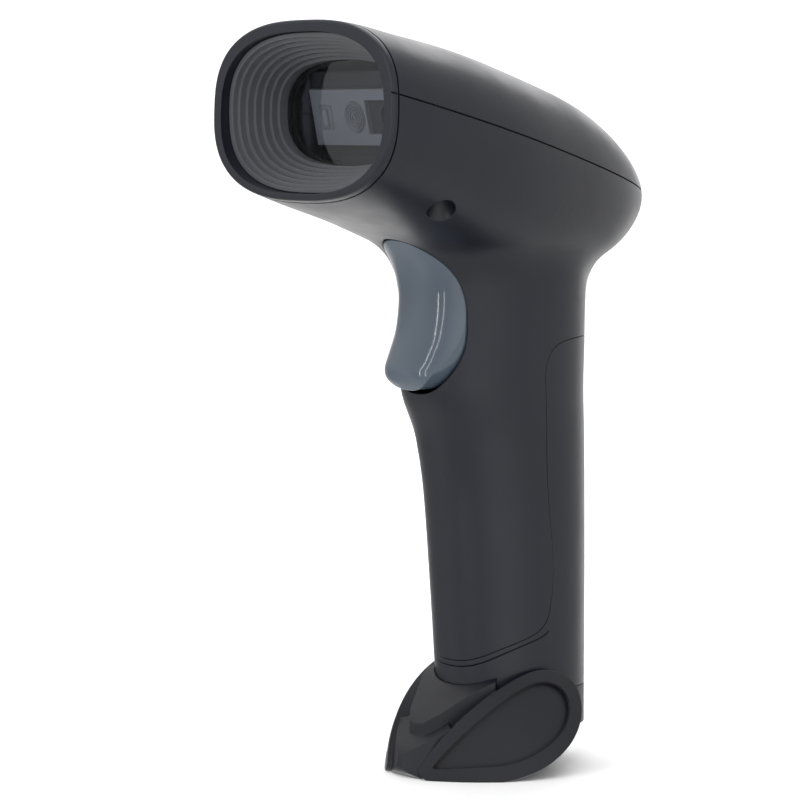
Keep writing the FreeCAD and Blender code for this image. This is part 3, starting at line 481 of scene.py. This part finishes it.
def make_foam():
    """The pad behind the cell: hollowed to the cell, crowned and soft-edged on the cover side."""
    low, high = in_mm("battery_pad")
    cell_low, cell_high = in_mm("battery")
    cell_r = (cell_high[0] - cell_low[0]) / 2
    cell_y = (cell_high[1] + cell_low[1]) / 2
    half_w = min(high[0], PAD_HALF_WIDTH)
    front = []
    back = []
    for i in range(PAD_ROWS + 1):
        v = 2 * i / PAD_ROWS - 1
        z = (low[2] + high[2]) / 2 + PAD_HALF_LENGTH * v
        for k in range(PAD_COLUMNS + 1):
            u = 2 * k / PAD_COLUMNS - 1
            x = half_w * u
            near = cell_y + math.sqrt((cell_r + PAD_GAP) ** 2 - x * x)
            full = PAD_BACK_Y - PAD_BACK_CURVE * x * x - near - PAD_EDGE
            round_off = (1 - abs(u) ** 8) * (1 - abs(v) ** 30)
            dent = abs(PAD_CROWN * math.sin(9 * v) * (1 - u * u))
            far = near + PAD_EDGE + full * round_off ** 0.5 - dent
            front.append((x, near, z))
            back.append((x, max(far, near + PAD_THINNEST), z))
    verts = front + back
    faces = layer_faces(PAD_ROWS, PAD_COLUMNS, True)
    pad = add_mesh("foam_pad", verts, faces, "foam")
    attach(pad, "root")
    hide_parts("battery_pad")


make_spring()
make_leads()
make_ribbon()
make_foam()


# ---- Stage, light and camera ----

def direction(turn, rise):
    """The direction at a turn from the front and a height above level, both in degrees."""
    turn = math.radians(turn)
    rise = math.radians(rise)
    return (math.sin(turn) * math.cos(rise), -math.cos(turn) * math.cos(rise), math.sin(rise))


def make_floor():
    """A pale sweep: floor, curve and back wall in one sheet, behind the object as the camera sees it."""
    turn = math.radians(CAMERA_TURN)
    away = Vector((-math.sin(turn), math.cos(turn), 0))
    side = Vector((math.cos(turn), math.sin(turn), 0))
    profile = [(FLOOR_NEAR, 0.0), (FLOOR_BEND, 0.0)]
    for i in range(1, FLOOR_BEND_STEPS + 1):
        angle = math.pi / 2 * i / FLOOR_BEND_STEPS
        height = FLOOR_BEND_R - FLOOR_BEND_R * math.cos(angle)
        profile.append((FLOOR_BEND + FLOOR_BEND_R * math.sin(angle), height))
    profile.append((FLOOR_BEND + FLOOR_BEND_R, FLOOR_TOP))
    verts = []
    faces = []
    for reach, height in profile:
        for half in (-FLOOR_HALF_WIDTH, FLOOR_HALF_WIDTH):
            verts.append(away * reach + side * half + Vector((0, 0, height)))
    for i in range(len(profile) - 1):
        faces.append((2 * i, 2 * i + 1, 2 * i + 3, 2 * i + 2))
    mesh = bpy.data.meshes.new("floor")
    mesh.from_pydata(verts, [], faces)
    for polygon in mesh.polygons:
        polygon.use_smooth = True
    floor = bpy.data.objects.new("floor", mesh)
    bpy.context.scene.collection.objects.link(floor)
    material, tree, shader = new_material("floor_paper")
    paper = colour_between(tree, noise(tree, 8.0), (0.90, 0.90, 0.90), (0.92, 0.92, 0.92))
    tree.links.new(paper, shader.inputs["Base Color"])
    shader.inputs["Roughness"].default_value = 0.7
    shader.inputs["Specular IOR Level"].default_value = 0.1
    mesh.materials.append(material)
    floor.visible_glossy = False


def aim(thing, place, target):
    thing.location = place
    thing.rotation_mode = "QUATERNION"
    thing.rotation_quaternion = (Vector(target) - Vector(place)).to_track_quat("-Z", "Y")


def area_light(name, place, target, size, power, mirrored=True):
    """A rectangular lamp. Unless mirrored, it lights the object without showing in its gloss."""
    lamp = bpy.data.lights.new(name, "AREA")
    lamp.shape = "RECTANGLE"
    lamp.size = size[0]
    lamp.size_y = size[1]
    lamp.energy = power
    light = bpy.data.objects.new(name, lamp)
    light.visible_glossy = mirrored
    bpy.context.scene.collection.objects.link(light)
    aim(light, place, target)


def make_camera():
    back = Vector(direction(CAMERA_TURN, CAMERA_RISE))
    data = bpy.data.cameras.new("camera")
    data.lens = CAMERA_LENS
    data.sensor_width = CAMERA_SENSOR
    data.clip_start = 0.02
    camera = bpy.data.objects.new("camera", data)
    bpy.context.scene.collection.objects.link(camera)
    aim(camera, CAMERA_TARGET + back * CAMERA_DISTANCE, CAMERA_TARGET)
    bpy.context.scene.camera = camera


def soft_patch(tree, turn, rise, spread, change):
    """A round patch of the surroundings, brighter or darker, centred on a direction."""
    where = tree.nodes.new("ShaderNodeTexCoord")
    toward = vector_step(tree, "DOT_PRODUCT", where.outputs["Generated"], direction(turn, rise))
    return remap(tree, toward, 0.0, change, math.cos(math.radians(spread)), 1.0)


def make_world():
    """Even white surroundings, with soft patches as a studio's walls and flags give."""
    world = bpy.data.worlds.new("studio")
    world.use_nodes = True
    tree = world.node_tree
    background = tree.nodes["Background"]
    background.inputs["Color"].default_value = (1.0, 1.0, 1.0, 1)
    strength = WORLD_STRENGTH
    for patch in WORLD_PATCHES:
        strength = arithmetic(tree, "ADD", strength, soft_patch(tree, *patch))
    tree.links.new(strength, background.inputs["Strength"])
    bpy.context.scene.world = world


make_floor()
make_camera()
make_world()
area_light("key", (0.35, -0.75, 0.9), (0, 0, 0.1), (0.9, 0.9), 6, False)
area_light("rim", (-0.5, 0.6, 0.5), (0, 0, 0.1), (0.5, 0.8), 2)
area_light("tube_near", (-0.20, -1.10, 0.50), (0, 0, 0.5), (0.028, 1.4), 1.6)
area_light("tube_far", (0.12, -1.10, 0.50), (0, 0, 0.5), (0.028, 1.4), 1.1)
area_light("backdrop", (-0.25, 0.2, 1.4), (-1.1, 0.9, 0.45), (1.6, 0.3), 14)
bpy.context.scene.view_settings.view_transform = "Standard"
